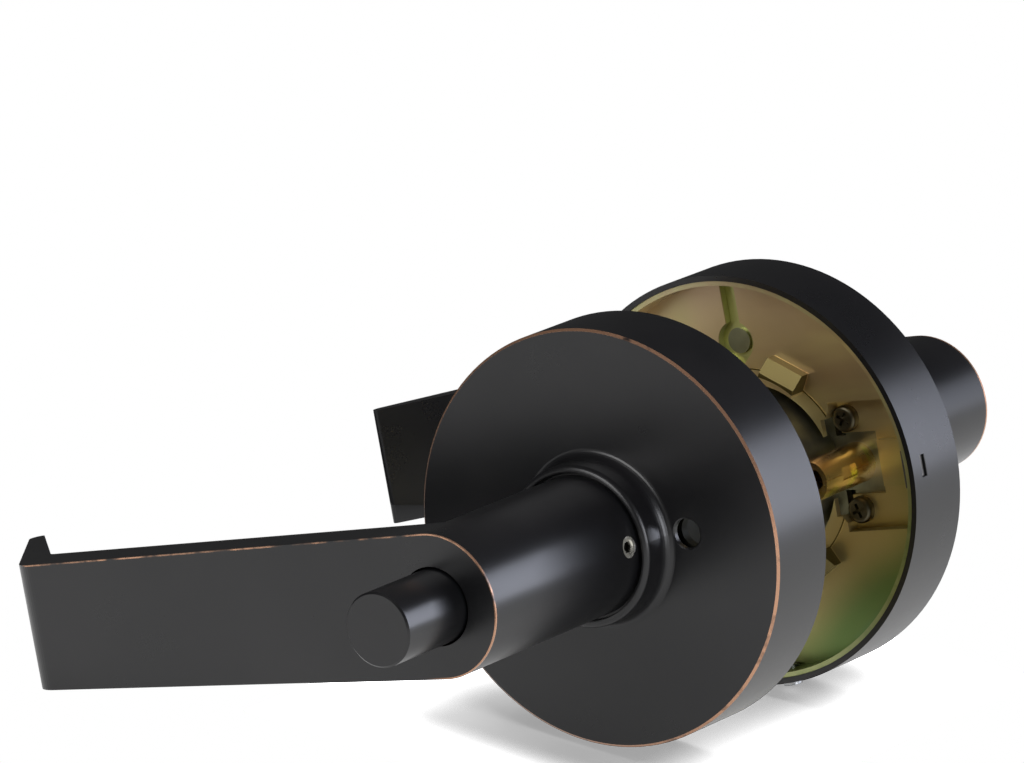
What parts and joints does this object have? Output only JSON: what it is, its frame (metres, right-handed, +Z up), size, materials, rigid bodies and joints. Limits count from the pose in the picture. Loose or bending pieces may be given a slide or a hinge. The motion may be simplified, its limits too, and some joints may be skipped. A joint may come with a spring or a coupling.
{
  "type": "privacy door lock",
  "caption": "Privacy lever lock for a door: lever handles on round roses, a push button on the inside that locks, and a turning indicator disc behind a window on the outside.",
  "frame": {"origin": "on the lock's axis, midway between the two roses' rims, which is the middle of the door", "axes": "+Y along the lock's axis from the inside to the outside, -X towards the levers' tips, +Z up"},
  "size_m": [0.1719, 0.2071, 0.0903],
  "materials": {
    "bronze": "dark oil-rubbed bronze, satin, worn to copper on a few edges",
    "yellow_zinc": "yellow passivated zinc, iridescent",
    "pale_zinc": "clear passivated zinc",
    "dark_steel": "dark steel",
    "spring_steel": "bright steel",
    "black_nylon": "black nylon",
    "green_paint": "green enamel",
    "red_paint": "red enamel",
    "white_paint": "white print"
  },
  "bodies": {
    "fixed_sets": {"inside_rose": "bronze", "inside_liner": "yellow_zinc", "inside_yoke": "pale_zinc", "inside_liner_screws": "dark_steel", "inside_cage": "pale_zinc", "inside_cage_screws": "dark_steel", "inside_return_spring": "spring_steel", "inside_bushing": "black_nylon", "outside_rose": "bronze", "outside_liner": "yellow_zinc", "outside_yoke": "pale_zinc", "bolt_posts": "yellow_zinc", "outside_liner_screws": "dark_steel", "outside_cage": "pale_zinc", "outside_cage_screws": "dark_steel", "outside_return_spring": "spring_steel", "outside_bushing": "black_nylon", "detent_leaf": "spring_steel", "detent_rivet": "yellow_zinc", "rose_catch": "spring_steel", "rose_screw": "spring_steel"},
    "inside_lever_body": {"inside_lever": "bronze", "inside_hub": "dark_steel", "inside_circlip": "spring_steel", "inside_lever_screw": "spring_steel", "inside_spindle": "spring_steel", "button_spring_seat": "spring_steel", "button_spring": "spring_steel"},
    "outside_lever_body": {"outside_lever": "bronze", "outside_hub": "dark_steel", "outside_circlip": "spring_steel", "outside_lever_screw": "spring_steel", "outside_spindle": "spring_steel", "slider_spring": "spring_steel"},
    "button_body": {"push_button": "bronze", "button_rod": "spring_steel"},
    "slider_body": {"lock_slider": "spring_steel"},
    "indicator_body": {"indicator_disc": "pale_zinc", "vacant_panel": "green_paint", "occupied_panel": "red_paint", "vacant_symbol": "white_paint", "occupied_symbol": "white_paint"}
  },
  "joints": [
    {"name": "inside_lever_turn", "type": "hinge", "parent": "fixed_sets", "child": "inside_lever_body", "pos_m": [0, -0.05, 0], "axis": [0, -1, 0], "range_deg": [-55, 55], "stiffness_Nm_per_rad": 5, "deforming": ["inside_return_spring"]},
    {"name": "outside_lever_turn", "type": "hinge", "parent": "fixed_sets", "child": "outside_lever_body", "pos_m": [0, 0.05, 0], "axis": [0, -1, 0], "range_deg": [-55, 55], "stiffness_Nm_per_rad": 5, "deforming": ["outside_return_spring"]},
    {"name": "push_button_press", "type": "slide", "parent": "inside_lever_body", "child": "button_body", "axis": [0, 1, 0], "range_m": [0, 0.008], "stiffness_N_per_m": 400, "springref_m": -0.003, "deforming": ["button_spring"]},
    {"name": "slider_slide", "type": "slide", "parent": "fixed_sets", "child": "slider_body", "axis": [0, 1, 0], "range_m": [0, 0.008], "deforming": ["slider_spring"]},
    {"name": "indicator_turn", "type": "hinge", "parent": "fixed_sets", "child": "indicator_body", "pos_m": [0, 0.03, 0], "axis": [0, 1, 0], "range_deg": [0, 86]}
  ],
  "couplings": [
    {"joint": "slider_slide", "follows": "push_button_press", "ratio": 1},
    {"joint": "indicator_turn", "follows": "push_button_press", "rad_per_m": 187.6}
  ]
}
